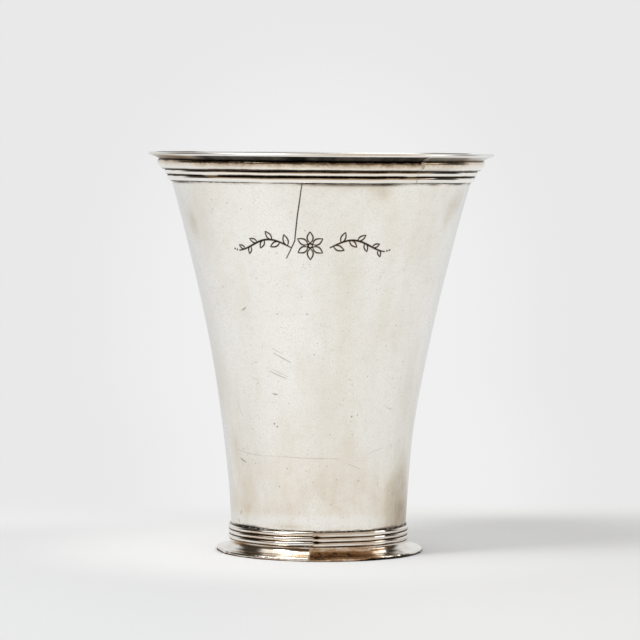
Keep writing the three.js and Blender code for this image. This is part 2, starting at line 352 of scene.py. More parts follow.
def turning(points):
    """The signed angle in degrees by which a closed run of points turns at each of them."""
    before = points - np.roll(points, 1, 0)
    after = np.roll(points, -1, 0) - points
    cross = before[:, 0] * after[:, 1] - before[:, 1] * after[:, 0]
    return np.degrees(np.arctan2(cross, (before * after).sum(1)))


def outward(along):
    """Unit normals to the right of a profile's directions."""
    normals = np.stack([along[:, 1], -along[:, 0]], 1)
    return normals / np.linalg.norm(normals, axis=1)[:, None]


def run_length(points):
    """How far along a run of points each of them is."""
    return np.concatenate([[0], np.cumsum(np.linalg.norm(np.diff(points, axis=0), axis=1))])


def curve_through(points, step):
    """Points at most a step apart on a smooth curve through the given ones."""
    dense = points
    if len(points) > 2:
        h = np.linalg.norm(np.diff(points, axis=0), axis=1)[:, None]
        slope = np.diff(points, axis=0) / h
        inner = (slope[:-1] * h[1:] + slope[1:] * h[:-1]) / (h[:-1] + h[1:])
        tangent = np.vstack([2 * slope[:1] - inner[:1], inner, 2 * slope[-1:] - inner[-1:]])
        t = np.linspace(0, 1, CURVE_PARTS, endpoint=False)[:, None, None]
        dense = (
            (2 * t**3 - 3 * t**2 + 1) * points[:-1]
            + (t**3 - 2 * t**2 + t) * h * tangent[:-1]
            + (3 * t**2 - 2 * t**3) * points[1:]
            + (t**3 - t**2) * h * tangent[1:]
        )
        dense = np.vstack([dense.transpose(1, 0, 2).reshape(-1, 2), points[-1:]])
        dense = np.clip(dense, points.min(0), points.max(0))
    length = run_length(dense)
    count = max(2, math.ceil(length[-1] / step) + 1)
    at = np.linspace(0, length[-1], count)
    return np.stack([np.interp(at, length, part) for part in dense.T], 1)


def fine_profile(node, step):
    """A node's closed profile with smooth curves between its corners: points, outward normals, and how
    far each point is above the nearest groove."""
    coarse = outline(node)
    turns = turning(coarse)
    corners = np.flatnonzero((turns > CORNER_TURN) | (turns < GROOVE_TURN)).tolist()
    grooves = coarse[turns < GROOVE_TURN]
    runs = []
    for here, there in zip(corners, corners[1:] + [corners[0] + len(coarse)]):
        runs.append(curve_through(coarse[[i % len(coarse) for i in range(here, there + 1)]], step)[:-1])
    points = np.vstack(runs)
    normals = outward(np.roll(points, -1, 0) - np.roll(points, 1, 0))
    apart = np.full(len(points), 1.0)
    if len(grooves):
        nearest = np.linalg.norm(points[:, None] - grooves[None], axis=2).argmin(1)
        apart = points[:, 1] - grooves[nearest, 1]
    return points, normals, apart


# Meshes.

def stand(name, data):
    """A new object in the scene."""
    thing = bpy.data.objects.new(name, data)
    bpy.context.scene.collection.objects.link(thing)
    return thing


def smooth_mesh(name, places, faces, uvs, shades, slot, node):
    """A piece that stands for a frame node, with smooth shading up to sharp edges."""
    mesh = bpy.data.meshes.new(name)
    mesh.from_pydata(places.tolist(), [], faces, shade_flat=False)
    mesh.validate()
    layer = mesh.uv_layers.new(name="OFBake")
    corner = np.zeros(len(mesh.loops), np.int32)
    mesh.loops.foreach_get("vertex_index", corner)
    layer.data.foreach_set("uv", uvs[corner].astype(np.float32).ravel())
    for kind, values in shades.items():
        shade = mesh.attributes.new(kind, "FLOAT", "POINT")
        shade.data.foreach_set("value", np.asarray(values, np.float32))
    mesh.update()
    mesh.set_sharp_from_angle(angle=SHARP)
    mesh.materials.append(finishes[slot])
    piece = stand(name, mesh)
    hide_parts(node)
    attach(piece, "root")
    return piece


def turned(name, node, profile, columns, slot, span=None, wear=None, tarnish_and_shade=None):
    """Turns a fine profile about the axis. span is (start, end) in degrees for an open strip. wear takes
    angles, radii, heights and normals and gives the worn radii and heights; the tarnish callback gives 0
    to 1, for tarnish and painted shade."""
    points, normals, apart = profile
    rows = len(points)
    around = columns + 1
    degrees = np.linspace(*(span or (-180.0, 180.0)), around)[:, None]
    r, z = np.repeat(points.T[:, None], around, 1)
    dark = np.zeros_like(r)
    if tarnish_and_shade:
        dark = np.clip(tarnish_and_shade(degrees, r, z, apart[None, :]), 0, 1)
    if wear:
        r, z = wear(degrees, r, z, normals)
    places = place_at(degrees, r, z)
    i, j = np.meshgrid(np.arange(columns), np.arange(rows), indexing="ij")
    here, up = i * rows + j, i * rows + (j + 1) % rows
    faces = np.stack([here, here + rows, up + rows, up], 2).reshape(-1, 4)
    if span is None:
        keep = columns * rows
        faces = (faces % keep).tolist()
    else:
        keep = around * rows
        faces = faces.tolist()
        faces += [list(range(rows)), list(range(keep - 1, columns * rows - 1, -1))]
    u, v = (np.linspace(UV_LOW, UV_HIGH, count) for count in (around, rows))
    uvs = np.stack(np.meshgrid(u, v, indexing="ij"), 2).reshape(-1, 2)[:keep]
    shades = {"tarnish_and_shade": dark.reshape(-1)[:keep]}
    smooth_mesh(name, places.reshape(-1, 3)[:keep], faces, uvs, shades, slot, node)


# Materials.

class Shader:
    """The node tree of a material or a world, built up node by node."""

    def __init__(self, owner):
        owner.use_nodes = True
        self.owner = owner
        self.tree = owner.node_tree
        self.tree.nodes.clear()

    def add(self, kind, settings=None, **inputs):
        """A node with its settings and inputs: sockets to link or values. Names like i0 count inputs."""
        node = self.tree.nodes.new(kind)
        for key, value in (settings or {}).items():
            setattr(node, key, value)
        for key, value in inputs.items():
            socket = node.inputs[int(key[1:]) if key[1:].isdigit() else key.replace("_", " ")]
            if isinstance(value, bpy.types.NodeSocket):
                self.tree.links.new(value, socket)
            else:
                socket.default_value = value
        return node

    def math(self, operation, a, b=0.0, clamp=False):
        settings = {"operation": operation, "use_clamp": clamp}
        return self.add("ShaderNodeMath", settings, i0=a, i1=b).outputs[0]

    def times(self, a, b):
        return self.math("MULTIPLY", a, b)

    def plus(self, a, b, clamp=False):
        return self.math("ADD", a, b, clamp)

    def most(self, a, b):
        return self.math("MAXIMUM", a, b)

    def mix(self, share, a, b):
        return self.add("ShaderNodeMix", {"data_type": "RGBA"}, i0=share, i6=a, i7=b).outputs[2]

    def spread(self, value, low, high, out_low=0.0, out_high=1.0):
        """A smooth step from one value at low to another at high."""
        return self.add(
            "ShaderNodeMapRange", {"interpolation_type": "SMOOTHSTEP"},
            Value=value, From_Min=low, From_Max=high, To_Min=out_low, To_Max=out_high,
        ).outputs[0]

    def band(self, value, start, full, past, end):
        """1 from full to past, and fading to 0 at start and end."""
        return self.times(self.spread(value, start, full), self.spread(value, end, past))

    def place(self):
        return self.add("ShaderNodeTexCoord").outputs["Object"]

    def parts(self, vector):
        return self.add("ShaderNodeSeparateXYZ", None, Vector=vector).outputs

    def joined(self, x, y):
        return self.add("ShaderNodeCombineXYZ", None, X=x, Y=y).outputs[0]

    def size(self, vector, start=(0, 0, 0)):
        """How far the end of a vector is from a place."""
        settings = {"operation": "DISTANCE"}
        return self.add("ShaderNodeVectorMath", settings, i0=vector, i1=start).outputs["Value"]

    def grain(self, place, size, detail=3.0, turn=0.0):
        """Noise with grains of a size in metres, along each axis, turned about Z."""
        inputs = {"Vector": place, "Scale": size, "Rotation": (0, 0, turn)}
        place = self.add("ShaderNodeMapping", {"vector_type": "TEXTURE"}, **inputs).outputs[0]
        return self.add("ShaderNodeTexNoise", None, Vector=place, Scale=1.0, Detail=detail).outputs[0]

    def shade(self, kind):
        return self.add("ShaderNodeAttribute", {"attribute_name": kind}).outputs["Fac"]

    def bumped(self, height, depth):
        return self.add("ShaderNodeBump", None, Strength=1.0, Distance=depth, Height=height).outputs[0]

    def metal(self, colour, roughness, normal, metallic=1.0, grazing=(1, 1, 1, 1)):
        return self.finish(self.add(
            "ShaderNodeBsdfPrincipled", None, Base_Color=colour, Metallic=metallic, Roughness=roughness,
            Normal=normal, Specular_Tint=grazing,
        ).outputs[0])

    def finish(self, surface):
        self.add("ShaderNodeOutputMaterial", None, Surface=surface)
        return self.owner


def silver_body():
    """Satin sheet silver: pale and cloudy, browner towards the foot, with fine scratches and specks."""
    s = Shader(bpy.data.materials.new("silver_body"))
    place = s.place()
    x, y, z = s.parts(place)
    around = s.math("ARCTAN2", x, s.times(y, -1.0))
    unrolled = s.joined(s.times(around, UNROLLED_RADIUS), z)
    clouds = s.grain(unrolled, CLOUDS)
    streaks = s.grain(unrolled, STREAKS)
    mottle = s.grain(unrolled, MOTTLE, 4)
    fine = s.grain(unrolled, FINE, 4)
    # Stain spots: real stains, and painted shade, highlights and a painted reflection of the shadow.
    stain_and_painted_light = s.shade("stain_and_painted_light")
    foot = s.band(z, *SHEET_FOOT)
    cloudy = s.plus(s.spread(clouds, 0.40, 0.68, 0.0, 0.45), s.spread(streaks, 0.45, 0.70, 0.0, 0.30))
    cloudy = s.plus(s.plus(cloudy, stain_and_painted_light), s.times(foot, 0.2), True)
    rosy = s.spread(s.plus(s.times(mottle, 0.4), clouds), 0.50, 0.95, 0.0, 0.6)
    rosy = s.times(s.times(rosy, foot), s.spread(stain_and_painted_light, -0.4, 0.0))
    brown = s.times(s.spread(stain_and_painted_light, 0.2, 0.8), s.spread(mottle, 0.2, 0.7, 0.6, 1.0))
    brown = s.times(brown, s.spread(stain_and_painted_light, 1.0, 2.2, 0.5, 0.85))
    hairs = 0.0
    for turn in HAIR_TURNS:
        hairs = s.plus(hairs, s.spread(s.grain(unrolled, HAIRS, 1, turn), 0.68, 0.78))
    hairs = s.times(hairs, s.spread(z, *HAIRS_FROM))
    colour = SHEET["pale"]
    for layer, share in {
        "cloudy": cloudy,
        "rosy": rosy,
        "brown": brown,
        "mottled": s.spread(mottle, 0.45, 0.75, 0.0, 0.10),
        "grainy": s.spread(fine, 0.42, 0.75, 0.0, 0.22),
        "hair": s.times(hairs, 0.16),
        "speck": s.spread(s.grain(place, SPECKS, 1), 0.715, 0.79, 0.0, 0.5),
        "clean": s.times(s.spread(z, *LIP_CLEAN, 0.0, 0.8), s.spread(stain_and_painted_light, 0.6, 0.1)),
        # Brown under the lip where its stain spots are: painted shade there.
        "crust_and_shade": s.times(s.spread(stain_and_painted_light, 0.5, 1.2), s.spread(z, *LIP_CRUST_AND_SHADE)),
    }.items():
        colour = s.mix(share, colour, SHEET[layer])
    # Tarnish of the marks and joints, and painted shade under the lip.
    dark = s.shade("tarnish_and_shade")
    colour = s.mix(dark, colour, s.mix(dark, SHEET["film"], SHEET["black"]))
    rough = s.plus(s.spread(clouds, 0.3, 0.7, 0.25, 0.33), s.times(dark, 0.3))
    bumps = s.bumped(s.plus(mottle, s.times(hairs, -0.1)), SHEET_RELIEF)
    return s.metal(colour, rough, bumps, 1.0, SHEET["grazing"])


def silver_moulding():
    """Polished drawn strip: bright crests, grooves brown to black with tarnish and painted shade, and an
    amber film on the foot.
    """
    s = Shader(bpy.data.materials.new("silver_moulding"))
    place = s.place()
    x, _, z = s.parts(place)
    film = s.grain(place, FILM, 4)
    grit = s.grain(place, GRIT, 3)
    waves = s.grain(place, WAVES, 2)
    foot = s.spread(z, *STRIP_FOOT)
    warm = s.times(foot, s.spread(s.math("ABSOLUTE", x), *STRIP_WARM, 0.10, 0.24))
    amber = s.times(s.spread(film, 0.30, 0.65), s.plus(warm, 0.06))
    # Tarnish, with painted shade in the grooves and crevices and a painted contact shadow on the foot.
    dark = s.times(s.shade("tarnish_and_shade"), s.spread(grit, 0.25, 0.75, 0.8, 1.2))
    dark = s.plus(dark, amber, True)
    ramp = s.add("ShaderNodeValToRGB", None, Fac=dark)
    stops = ramp.color_ramp.elements
    stops[0].color, stops[1].color = STRIP_RAMP[0], STRIP_RAMP[-1]
    for i in range(1, len(STRIP_RAMP) - 1):
        stops.new(i / (len(STRIP_RAMP) - 1)).color = STRIP_RAMP[i]
    veil = s.times(foot, s.spread(dark, 0.6, 0.2, 0.0, 0.25))
    colour = s.mix(veil, ramp.outputs[0], STRIP_VEIL)
    rust = s.times(s.times(foot, 0.55), s.band(dark, 0.3, 0.5, 0.75, 0.95))
    colour = s.mix(rust, colour, STRIP_RUST)
    rough = s.plus(s.spread(film, 0.35, 0.7, 0.06, 0.12), s.times(dark, 0.25))
    return s.metal(colour, rough, s.bumped(waves, STRIP_RELIEF))


def hard_solder():
    """Dull grey hard solder, pitted, darkened in crevices by tarnish and by painted shade under the lip.
    """
    s = Shader(bpy.data.materials.new("hard_solder"))
    place = s.place()
    patch = s.grain(place, PATCHES, 4)
    pits = s.grain(place, PITS, 2)
    colour = s.mix(s.spread(patch, 0.35, 0.65), SOLDER_DULL, SOLDER_BRIGHT)
    colour = s.mix(s.shade("tarnish_and_shade"), colour, SOLDER_BLACK)
    return s.metal(colour, s.spread(patch, 0.3, 0.7, 0.5, 0.3), s.bumped(pits, SOLDER_RELIEF), 0.95)


# Marks on the wall.

def petal(base, direction, length, width):
    """The two sides of a pointed leaf or petal: (path, stroke) pairs in millimetres."""
    t = np.linspace(0, 1, 40)
    side = width / 2 * np.sin(math.pi * t**0.85)
    c, s = math.cos(direction), math.sin(direction)
    middle = base + np.outer(length * t, [c, s])
    return [(middle + np.outer(k * side, [-s, c]), HAIRLINE) for k in (1, -1)]


def ornament():
    """A plain engraved spray: a rosette between two leafy stems. (path, stroke) pairs in millimetres."""
    strokes = []
    for k in range(PETALS):
        turn = math.radians(30 + 360 / PETALS * k)
        base = (PETAL_START * math.cos(turn), PETAL_START * math.sin(turn))
        strokes += petal(base, turn, PETAL_LENGTH, PETAL_WIDTH)
    circle = np.linspace(0, 2 * math.pi, 30)
    strokes.append((EYE_RADIUS * np.stack([np.cos(circle), np.sin(circle)], 1), STROKE))
    t = np.linspace(0, 1, STEM_POINTS)
    for way in (1, -1):
        swing = STEM_SWING * np.sin(math.pi * (1.55 * t - 0.1))
        stem = np.stack([way * (STEM_START + STEM_LENGTH * t), swing], 1)
        strokes.append((stem, STROKE))
        for n, share in enumerate(LEAVES):
            i = int(share * (STEM_POINTS - 1))
            run = stem[i + 1] - stem[i]
            heading = math.atan2(run[1], run[0]) + LEAF_LEAN * (1 if n % 2 else -1)
            size = LEAF_LENGTH - LEAF_SHRINK * share
            strokes += petal(stem[i], heading, size, size * LEAF_WIDTH)
        for reach in STEM_DOTS:
            strokes.append((stem[-1:] + [way * reach, 0.25 * reach], DOT))
    return strokes


class Wall:
    """The wall's surface: places along its profile and around it, moved by dents, hammering and marks."""

    def __init__(self, node):
        coarse = outline(node)
        corners = np.flatnonzero(turning(coarse) > CORNER_TURN)
        coarse = np.roll(coarse, -corners[coarse[corners, 0].argmax()], 0)
        last = np.flatnonzero(turning(coarse) > CORNER_TURN)[-1]
        sheet = curve_through(coarse[: last + 1], LINE_STEP * MM)
        under = curve_through(coarse[[last, 0]], LINE_STEP * MM)[1:]
        self.line = np.vstack([sheet, under])
        self.length = run_length(self.line)
        self.normal = outward(np.gradient(self.line, axis=0))
        self.peak = self.line[:, 1].argmax()
        self.tip = self.length[self.peak]
        self.foot = self.length[len(sheet) - 1]
        self.end = self.length[-1]
        self.marked = self.along(MARK_TOP)
        self.gather()

    def at(self, s):
        """(radius, height, normal out, normal up) at lengths along the profile."""
        return [np.interp(s, self.length, part) for part in (*self.line.T, *self.normal.T)]

    def along(self, height):
        """How far along the profile the outer face is at a height in millimetres."""
        return np.interp(height * MM, self.line[: self.peak, 1], self.length[: self.peak])

    def point(self, degrees, s):
        return place_at(degrees, *self.at(s)[:2])

    def gather(self):
        """Samples all marks as points on the wall, each with its half-width, depth and darkness."""
        paths = []
        centre = self.along(ORNAMENT_HEIGHT)
        radius = self.at(centre)[0]
        for path, style in ornament():
            degrees = ORNAMENT_ANGLE + np.degrees(path[:, 0] * MM / radius)
            paths.append((degrees, centre + path[:, 1] * MM, style, ORNAMENT_TAPER))
        for style, *path in WEAR:
            degrees, height = np.array(path, float).T
            paths.append((degrees, self.along(height), style, WEAR_TAPER))
        self.samples = []
        for degrees, s, style, taper in paths:
            run = run_length(self.point(degrees, s))
            count = max(1, math.ceil(run[-1] / (MARK_SPACING * MM)))
            at = np.linspace(0, run[-1], count)
            places = self.point(np.interp(at, run, degrees), np.interp(at, run, s))
            swell = np.ones(count)
            if count > 3:
                swell = 1 - taper + taper * np.sin(math.pi * np.linspace(0, 1, count)) ** 0.6
            for place, share in zip(places, swell):
                self.samples.append((place, style.wide * MM * share, style.deep * MM * share, style.dark))
        self.tree = KDTree(len(self.samples))
        for i, sample in enumerate(self.samples):
            self.tree.insert(sample[0], i)
        self.tree.balance()

    def mark(self, place):
        """(depth, darkness) of the marks at a place on the wall."""
        depth = dark = 0.0
        for _, i, distance in self.tree.find_range(place, MARK_SEARCH * MM):
            _, wide, deep, shade = self.samples[i]
            inside = 1 - (distance / wide) ** 2
            if inside > 0:
                depth = max(depth, deep * inside)
                dark = max(dark, shade * min(1.0, MARK_FLANK * inside))
            else:
                dark = max(dark, MARK_HAZE * shade * max(0.0, 1 + HAZE_FALL * inside))
        return depth, dark

    def rows(self):
        """Where the rows of the base grid lie along the profile."""
        cuts = (
            (0, WALL_STEP),
            (self.along(COLLAR_ROWS[0]), EDGE_STEP),
            (self.along(COLLAR_ROWS[1]), WALL_STEP),
            (self.along(RIM_ROWS), EDGE_STEP),
            (self.tip - LIP_OUTSIDE * MM, LIP_STEP),
            (self.tip + LIP_INSIDE * MM, THROAT_STEP),
            (self.tip + THROAT * MM, INSIDE_STEP),
            (self.foot, UNDER_STEP),
        )
        ends = [start for start, _ in cuts[1:]] + [self.end]
        spans = [
            np.linspace(start, end, math.ceil((end - start) / (step * MM)), endpoint=False)
            for (start, step), end in zip(cuts, ends)
        ]
        return np.concatenate([*spans, [self.end]])

    def rim_residue(self, degrees, z):
        """Tarnish along the joint under the rim strip: black in front and at the ends."""
        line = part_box("rim_edge_solder")[0].z
        uneven = 0.5 + 0.5 * ripple(degrees, 81, 3, 90, 0.5)
        ends = sum(near(degrees, *end) for end in RIM_JOINT_ENDS)
        front = near(degrees, *RIM_JOINT_FRONT, 4)
        joint = np.clip(uneven + 0.4 * ends, 0, 1) * (0.35 + 0.6 * np.minimum(ends, 1)) + 0.8 * front
        below = (line - z) / MM - 0.1 * front
        return joint * near(below, 0, 0.3 + 0.12 * front)

    def collar_residue(self, degrees, z):
        """Tarnish above the collar, reaching higher at the sides."""
        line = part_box("collar_edge_solder")[1].z
        left, right = near(degrees, *COLLAR_JOINT_LEFT), near(degrees, *COLLAR_JOINT_RIGHT)
        reach = (0.1 + 0.35 * left + 0.25 * right + 0.1 * ripple(degrees, 82, 3, 90, 0.5)) * MM
        above = np.clip((z - line) / np.maximum(reach, 0.05 * MM), 0, 9)
        return (0.75 + 0.5 * left) * fade(degrees, *COLLAR_JOINT_START) * near(above, 0, 1)

    def lip_tarnish_and_shade(self, degrees, s):
        """Tarnish and painted shade under the lip: black where the rim is, thinner and broken up
        elsewhere.
        """
        front = tarnished_and_shaded(degrees)
        up = (s - self.along(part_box("rim_moulding")[1].z / MM)) / MM
        lip = fade(up, -0.6, -0.1) * fade(up, 2.6 + 0.3 * front, 1.8 + 0.7 * front)
        least = np.where(degrees < 0, 0.22, 0.30)
        lip = lip * (0.92 + 0.06 * ripple(degrees, 83, 6, 120, 0.4)) * (least + (1 - least) * front)
        return lip * (1 - 0.35 * (1 - front) * np.clip(ripple(degrees, 84, 8, 90, 0.3), 0, 1))

    def residue_and_shade(self, degrees, s, z):
        """Black tarnish along the joints with the strips and in two arcs inside the lip, and tarnish with
        painted shade under the lip.
        """
        dark = self.rim_residue(degrees, z) + self.collar_residue(degrees, z)
        dark = np.where(s < self.tip - LIP_EDGE * MM, dark + self.lip_tarnish_and_shade(degrees, s), 0)
        arcs = sum(fade(degrees, a, b) * fade(degrees, d, c) for a, b, c, d in LIP_ARCS)
        dark += 0.95 * arcs * near((s - self.tip) / MM, 0.75, 0.55)
        return np.clip(dark, 0, 1)

    def grid(self):
        """A flat grid of (angle, length along the profile), finer around the marks: places and faces."""
        bm = bmesh.new()
        rows = self.rows()
        around = np.linspace(-180, 180, WALL_COLUMNS + 1)
        grid = [[bm.verts.new((a, s, 0)) for s in rows] for a in around]
        for i in range(WALL_COLUMNS):
            for j in range(len(rows) - 1):
                bm.faces.new((grid[i][j], grid[i + 1][j], grid[i + 1][j + 1], grid[i][j + 1]))
        for reach in MARK_REACH:
            close = []
            for face in bm.faces:
                middle = face.calc_center_median()
                if 0 < middle.y < self.marked and abs(middle.x) < MARK_SIDE:
                    _, i, distance = self.tree.find(self.point(middle.x, middle.y))
                    if distance < reach * MM + self.samples[i][1]:
                        close.append(face)
            edges = list(dict.fromkeys(edge for face in close for edge in face.edges))
            bmesh.ops.subdivide_edges(bm, edges=edges, cuts=1, use_grid_fill=True)
        bm.verts.index_update()
        places = np.array([v.co[:2] for v in bm.verts])
        faces = [[v.index for v in face.verts] for face in bm.faces]
        bm.free()
        return places, faces

    def build(self, slot):
        places, faces = self.grid()
        degrees, s = places.T
        r, z, normal_r, normal_z = self.at(s)
        ideal = self.point(degrees, s)
        depth, dark = np.zeros((2, len(s)))
        for i in np.flatnonzero((s < self.marked) & (abs(degrees) < MARK_SIDE)):
            depth[i], dark[i] = self.mark(ideal[i])
        shades = {
            # Tarnish of the marks and joints, and painted shade under the lip.
            "tarnish_and_shade": np.maximum(dark, self.residue_and_shade(degrees, s, z)),
            # Stain spots, with painted shade, highlights and reflection among them.
            "stain_and_painted_light": np.where(s < self.tip, soft_spots(STAINS_AND_PAINTED_LIGHT, degrees, z), 0),
        }
        hammered = np.array([noise.noise(Vector(p) / (HAMMER_SPACING * MM)) for p in ideal])
        inside = np.minimum(z / MM - HAMMER_LOW, HAMMER_HIGH - z / MM)
        hammered *= np.clip(inside / HAMMER_FADE, 0, 1)
        out = r + MM * (soft_spots(DENTS, degrees, z) + HAMMERED * hammered) - depth * normal_r
        places = place_at(degrees, out, z - depth * normal_z)
        uvs = UV_LOW + (UV_HIGH - UV_LOW) * np.stack([(degrees + 180) / 360, s / self.end], 1)
        piece = smooth_mesh("beaker_wall", places, faces, uvs, shades, slot, "body_wall")
        bm = bmesh.new()
        bm.from_mesh(piece.data)
        bmesh.ops.remove_doubles(bm, verts=[v for v in bm.verts if v.is_boundary], dist=1e-7)
        bm.to_mesh(piece.data)
        bm.free()
        piece.data.set_sharp_from_angle(angle=SHARP)


# Strips: how each is worn, and where it is tarnished and painted with shade.

def seam_angle(node):
    """The angle from the front at which a seam's solder lies, in degrees."""
    low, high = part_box(node)
    middle = (low + high) / 2
    return math.degrees(math.atan2(middle.x, -middle.y))


def open_span(angle, radius):
    """The (start, end) angles of a strip bent round from one side of its seam to the other."""
    half = math.degrees(SEAM_HALF * MM / radius)
    return angle + half, angle + 360 - half


def end_proud(angle, seam):
    """How far a strip stands out next to its seam, in millimetres: its ends never take the full bend."""
    return END_PROUD * np.exp(-abs(signed(angle - seam)) / END_LENGTH)


rim_seam = seam_angle("rim_seam_solder")
collar_seam = seam_angle("collar_seam_solder")
flange_seam = seam_angle("flange_seam_solder")


def groove_dark(angle, apart, over, below, seed):
    """Tarnish in the grooves, with painted shade on the underside of the reed above: it fades out up that
    reed, and ends sharply on the reed below.
    """
    uneven = 1 + 0.15 * ripple(angle, seed, 2, 24) + 0.06 * ripple(angle, seed + 1, 20, 160)
    reach = np.where(apart > 0, over, below) * uneven * MM
    return near(apart, 0, reach, np.where(apart > 0, 2, 6))


def tarnished_and_shaded(angle):
    """1 where the rim is black with tarnish and painted shade, from the left of the front to the strip's
    seam, and less past it.
    """
    a = signed(angle)
    dim = DIM_SHARE * fade(a, rim_seam, rim_seam + 2) * fade(a, *RIM_DIM)
    return fade(a, *RIM_BLACK) * fade(a, rim_seam + 1, rim_seam - 0.5) + dim


def rim_wear(angle, r, z, normals):
    lift = 0.045 * MM * ripple(angle, 21, 2, 30)
    out = 0.02 * MM * ripple(angle, 22, 2, 40)
    return r + out * normals[None, :, 0], np.minimum(z + lift, cad_box[1].z)


def rim_tarnish_and_shade(angle, r, z, apart):
    """Tarnish with painted shade: black grooves, and a black to brown upper half of the roll in the lip's
    shade.
    """
    a, h = signed(angle), z / MM
    front, left = tarnished_and_shaded(angle), fade(a, *RIM_BLACK[::-1])
    grooves = 2.0 * groove_dark(angle, apart, 0.18 + 0.07 * front, 0.34, 11)
    gaps = near(a, *GAP_LEFT, 4) + 0.8 * near(a, *GAP_RIGHT, 4)
    grooves = grooves * (1 - 0.8 * near(h, SECOND_GROOVE, 0.8, 4) * gaps)
    crest = ROLL_CREST - 0.15 * front
    crest = crest + 0.1 * ripple(angle, 13, 2, 30) + 0.08 * ripple(angle, 14, 30, 200)
    # The roll's upper half: tarnish and painted shade under the lip.
    roll = (0.25 + 0.37 * front + 0.15 * left) * fade(h, crest - 1.95, crest + 0.45)
    roll = roll + (0.3 + 0.05 * front + 0.35 * left) * fade(h, crest + 0.05, crest + 0.5)
    return np.maximum(grooves, roll)


def collar_wear(angle, r, z, normals):
    past = (angle - collar_seam) % 360
    end = COLLAR_DROP * near(past, 0, COLLAR_END) + COLLAR_RISE * near(past, 360, COLLAR_END)
    lift = MM * (end + 0.04 * ripple(angle, 31, 2, 30))
    out = MM * (0.025 * ripple(angle, 32, 2, 40) + COLLAR_PROUD * end_proud(angle, collar_seam))
    return r + out, z + lift


def collar_tarnish_and_shade(angle, r, z, apart):
    """Tarnish and painted shade: brown grooves in front, wider and blacker towards the sides, and a dark
    lower edge, painted shade in the crease above the flange.
    """
    side = fade(abs(signed(angle)), 20, 48)
    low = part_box("foot_collar")[0].z
    # The lower edge: painted shade in the crease above the flange.
    edge = (0.6 + 0.35 * side) * fade(z, low + 0.22 * MM, low + 0.05 * MM)
    spot = near(signed(angle - collar_seam), 2.0, 2.2)
    grooves = groove_dark(angle, apart, 0.17 + 0.1 * side + 0.25 * spot, 0.12 + 0.15 * spot, 15)
    return np.maximum(edge, (1.0 + 0.4 * side + 0.6 * spot) * grooves)


def flange_wear(angle, r, z, normals):
    low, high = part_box("foot_flange")
    bend = FLANGE_BEND * MM
    spread = np.clip((r - bend) / (high.x - bend), 0, 1)
    worn = 0.09 * (ripple(angle, 41, 3, 50) - 1.2) + 0.03 * ripple(angle, 43, 60, 200, 0.3)
    lopsided = 0.3 * np.sin(np.radians(angle))
    lift = 0.1 * (ripple(angle, 42, 2, 18) + 1) * spread**2 * (z > 0.2 * MM)
    out = (worn + lopsided) * spread**2 + end_proud(angle, flange_seam)
    return r + MM * out, np.maximum(z + MM * lift, low.z)


def flange_tarnish_and_shade(angle, r, z, apart):
    """A painted contact shadow on the ragged lower edge, amber in the hollow, a brown film with painted
    dark reflection right of the seam, and painted shade in a brown line under the collar.
    """
    a, h = signed(angle), z / MM
    right = fade(a, *EDGE_RIGHT)
    side = np.maximum(fade(abs(a), *EDGE_SIDES), right)
    ragged = 0.08 * ripple(angle, 17, 3, 40) + 0.05 * ripple(angle, 18, 40, 220, 0.3)
    ragged = ragged + 0.22 * right + 0.1 * fade(a, *EDGE_LEFT)
    # Painted contact shadow along the lower edge, blacker at the sides and on the right.
    under = (0.35 + 0.65 * side) * fade(h, 0.42 + ragged, 0.15 + ragged) * (r > FLANGE_EDGE * MM)
    # Painted shade in the crease under the collar.
    joint = 0.35 * fade(h, 3.1, 3.25)
    hollow = 0.22 * fade(abs(signed(angle - HOLLOW_FRONT)), 55, 25) * fade(h, 1.2, 2.2)
    hollow = hollow + 0.45 * near(a, *HOLLOW_LEFT) * fade(h, 1.9, 2.7)
    past = signed(angle - flange_seam)
    # A brown film with a painted dark reflection, right of the seam.
    film = (0.54 + 0.12 * fade(past, 10, 3)) * fade(past, -0.5, 1.5) * fade(past, 44, 38)
    film = film * fade(h, 2.6, 1.9) * fade(h, 0.15, 0.5)
    crease = 0.7 * fade(past, 38, 42) * fade(past, 66, 56) * near(h, 2.2, 0.22)
    return np.maximum.reduce([under, joint, hollow, film, crease])


# Solder and floor.

def rim_joint(angle):
    """How dark the joint under the rim strip is: black in front and towards both ends."""
    a = signed(angle)
    black = near(a, *RIM_JOINT_FRONT, 4) + sum(near(a, *end) for end in RIM_SOLDER_ENDS)
    return 0.6 + 0.5 * black


def collar_joint(angle):
    """The joint above the collar is black in front and cleaner around the back."""
    return 0.35 + 0.6 * fade(abs(signed(angle - 8)), 90, 62)


def floor_joint(angle):
    return 0.3 + 0 * angle


def solder_line(name, node, seed, darkness):
    """A fillet of solder that clings to a joint's corner, and shrinks and swells along it."""
    profile = fine_profile(node, SOLDER_STEP * MM)
    r, z = profile[0].T
    corner = profile[0][z.argmax() if node == "rim_edge_solder" else r.argmin()]
    def worn(angle, r, z, normals):
        size = np.clip(0.78 + 0.25 * ripple(angle, seed, 4, 140, 0.35), 0.12, 1.0)
        return corner[0] + (r - corner[0]) * size, corner[1] + (z - corner[1]) * size
    def shade(angle, r, z, apart):
        return darkness(angle) + 0.45 * ripple(angle, seed + 1, 3, 120, 0.4) + 0 * r
    turned(name, node, profile, SOLDER_COLUMNS, "solder", None, worn, shade)


def seam_lump(name, node, strip, angle, half, bulge, shade):
    """The solder in a butt joint: the strip's own section, swollen a little over its ends."""
    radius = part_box(node)[1].xy.length
    span = math.degrees(half * MM / radius)
    def swollen(degrees, r, z, normals):
        across = (degrees - angle) / span
        out = MM * bulge(z) * np.sqrt(np.clip(1 - across**2, 0, 1))
        return r + out * abs(normals[None, :, 0]), z
    profile = fine_profile(strip, STRIP_STEP * MM)
    turned(name, node, profile, SEAM_COLUMNS, "solder", (angle - span, angle + span), swollen, shade)


